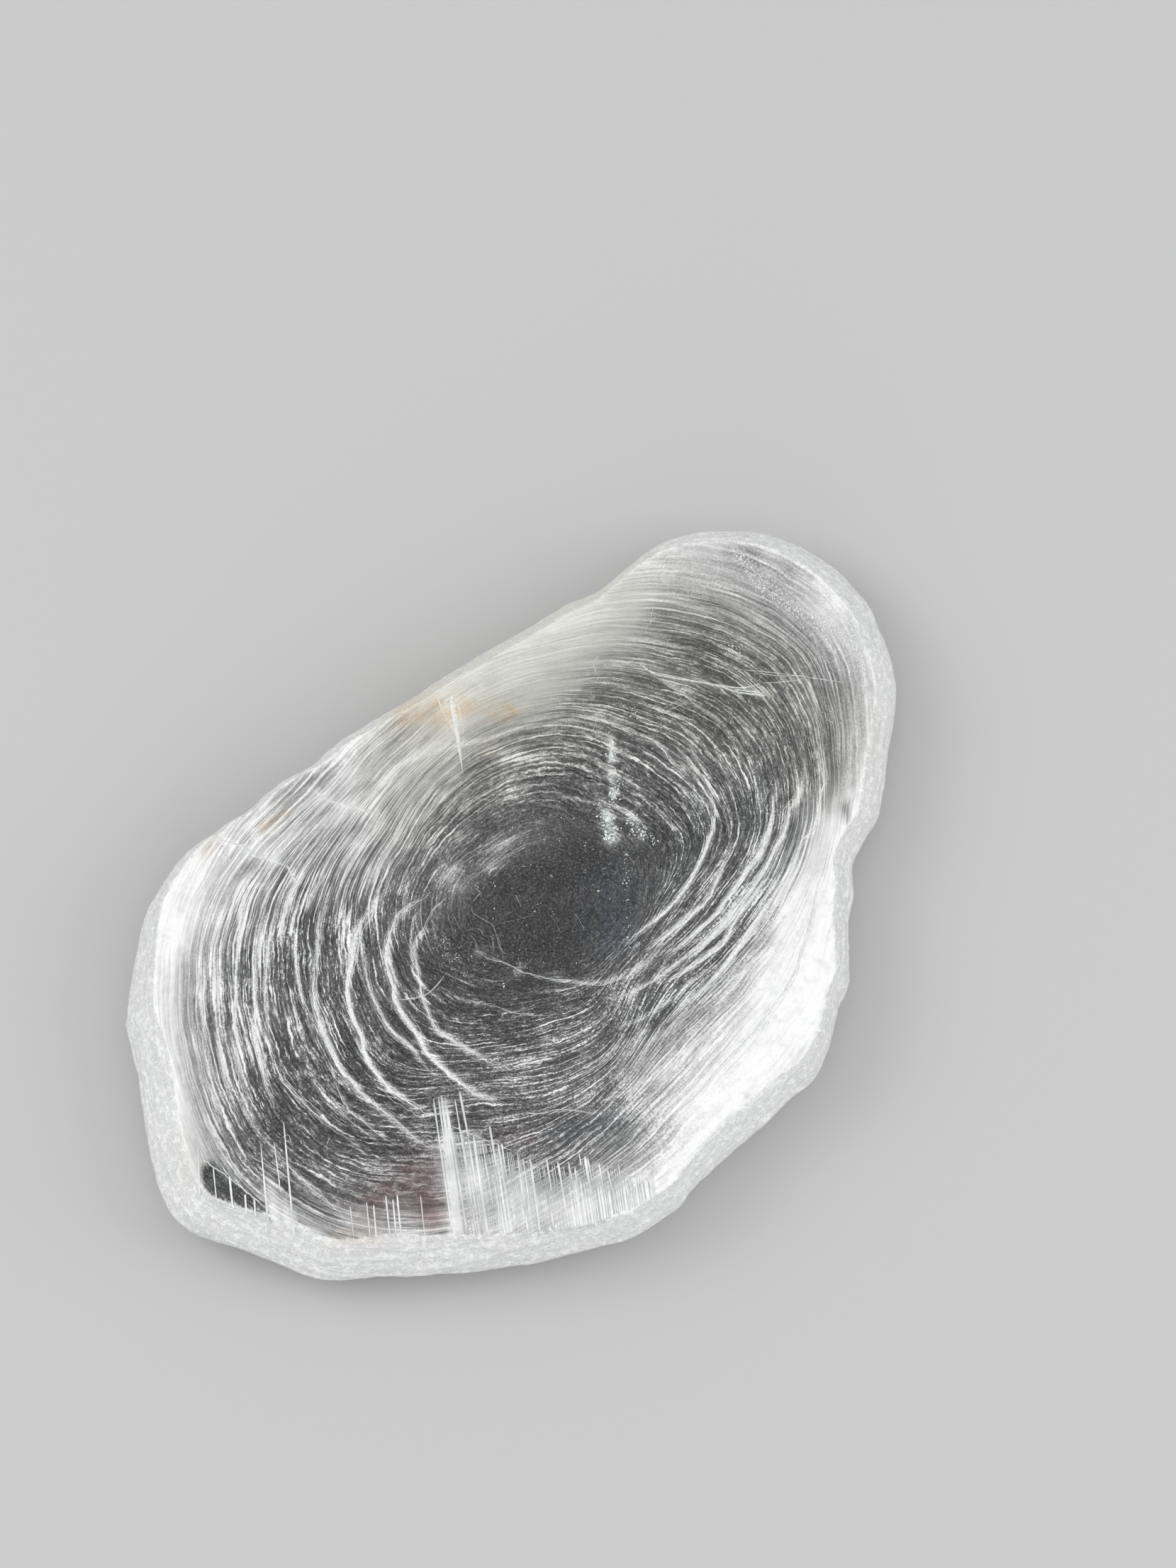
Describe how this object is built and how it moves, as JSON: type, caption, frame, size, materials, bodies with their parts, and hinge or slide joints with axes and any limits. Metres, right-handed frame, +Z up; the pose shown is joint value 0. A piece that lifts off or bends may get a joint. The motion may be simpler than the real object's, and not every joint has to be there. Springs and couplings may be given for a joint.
{
  "type": "selenite crystal plate",
  "caption": "Water-clear selenite cleavage plate of pear-like outline, with a clear window, stepped rings around it on both faces and a frosted, bevelled rim.",
  "frame": {"origin": "middle of the crystal's bounding box, on the surface that it rests on", "axes": "+X along the crystal's long axis towards its narrow lobe, +Z up out of the upper cleavage face"},
  "size_m": [0.07, 0.0446, 0.009],
  "materials": {
    "selenite": "water-clear gypsum, satin on the stepped faces, frosted white along the rim"
  },
  "bodies": {
    "root": {"selenite_crystal": "selenite"}
  },
  "joints": []
}
